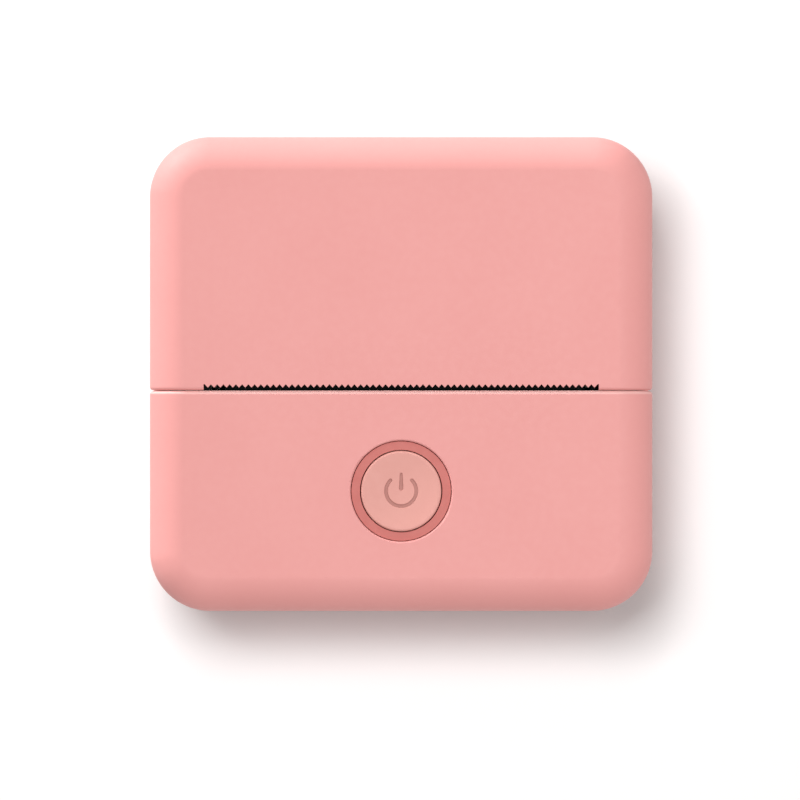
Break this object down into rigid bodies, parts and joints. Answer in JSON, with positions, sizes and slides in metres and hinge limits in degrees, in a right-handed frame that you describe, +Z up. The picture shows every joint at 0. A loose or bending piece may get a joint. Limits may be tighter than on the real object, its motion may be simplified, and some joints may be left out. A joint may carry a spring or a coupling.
{
  "type": "thermal printer",
  "caption": "Rounded square pocket thermal printer with a hinged lid, serrated paper slot, power button, print roller and gear train.",
  "frame": {"origin": "on the table, under the middle of the case", "axes": "+X across the case to the right, -Y towards the front edge with the button, +Z up out of the face"},
  "size_m": [0.081, 0.0764, 0.042],
  "materials": {
    "pink_case": "soft matte",
    "pink_ring": "soft matte",
    "black_plastic": "fine matte",
    "white_plastic": "satin",
    "steel": "satin",
    "zinc_steel": "bright",
    "aluminium": "satin",
    "ceramic": "glazed",
    "black_resin": "glossy",
    "black_rubber": "ground smooth",
    "circuit_board": "solder mask",
    "cable_film": "smooth film",
    "cell_wrap": "foil"
  },
  "bodies": {
    "base": {"base_shell": "pink_case", "front_cover": "pink_case", "button_ring": "pink_ring", "chassis": "black_plastic", "feet": "black_rubber", "case_screws": "steel", "board_screws": "steel", "frame_screws": "steel", "motor_screws": "steel", "gear_studs": "steel", "hinge_pin": "steel", "head_spring": "steel", "head_frame": "zinc_steel", "stepper_motor": "zinc_steel", "usb_socket": "zinc_steel", "main_board": "circuit_board", "board_chips": "black_resin", "cable_connector": "black_plastic", "head_cable": "cable_film", "socket_tongue": "black_plastic", "tact_switch": "black_plastic", "battery": "cell_wrap", "paper_sensor": "black_plastic"},
    "lid": {"lid_shell": "pink_case", "roller_bracket": "black_plastic", "bracket_screws": "steel", "roller_bushes": "white_plastic"},
    "roller": {"roller_rubber": "black_rubber", "roller_shaft": "steel", "roller_gear": "white_plastic", "roller_clip": "steel"},
    "head": {"print_head": "ceramic", "heat_sink": "aluminium", "head_driver_bar": "black_resin"},
    "drive": {"drive_gear": "white_plastic"},
    "step": {"step_gear": "white_plastic"},
    "motor": {"motor_shaft": "steel", "motor_pinion": "white_plastic"},
    "button": {"power_button": "pink_case", "switch_plunger": "black_plastic"}
  },
  "joints": [
    {"name": "lid_hinge", "type": "hinge", "parent": "base", "child": "lid", "pos_m": [0, 0.0352, 0.02], "axis": [-1, 0, 0], "range_deg": [0, 92]},
    {"name": "roller_spin", "type": "hinge", "parent": "lid", "child": "roller", "pos_m": [0, 0.0013, 0.0346], "axis": [1, 0, 0], "continuous": true},
    {"name": "head_pivot", "type": "hinge", "parent": "base", "child": "head", "pos_m": [0, -0.00525, 0.0274], "axis": [1, 0, 0], "range_deg": [0, 2.5], "stiffness_Nm_per_rad": 0.09, "springref_deg": -17.19, "deforming": ["head_spring"]},
    {"name": "drive_spin", "type": "hinge", "parent": "base", "child": "drive", "pos_m": [0, -0.00287, 0.02492], "axis": [1, 0, 0], "continuous": true},
    {"name": "step_spin", "type": "hinge", "parent": "base", "child": "step", "pos_m": [0, -0.01286, 0.02595], "axis": [1, 0, 0], "continuous": true},
    {"name": "motor_spin", "type": "hinge", "parent": "base", "child": "motor", "pos_m": [0, -0.01151, 0.0155], "axis": [1, 0, 0], "continuous": true},
    {"name": "button_press", "type": "slide", "parent": "base", "child": "button", "axis": [0, 0, 1], "range_m": [-0.0004, 0], "stiffness_N_per_m": 400, "springref_m": 0.0004}
  ],
  "couplings": [
    {"joint": "drive_spin", "follows": "roller_spin", "ratio": -0.5},
    {"joint": "step_spin", "follows": "roller_spin", "ratio": 1.1667},
    {"joint": "motor_spin", "follows": "roller_spin", "ratio": -2.9167}
  ]
}
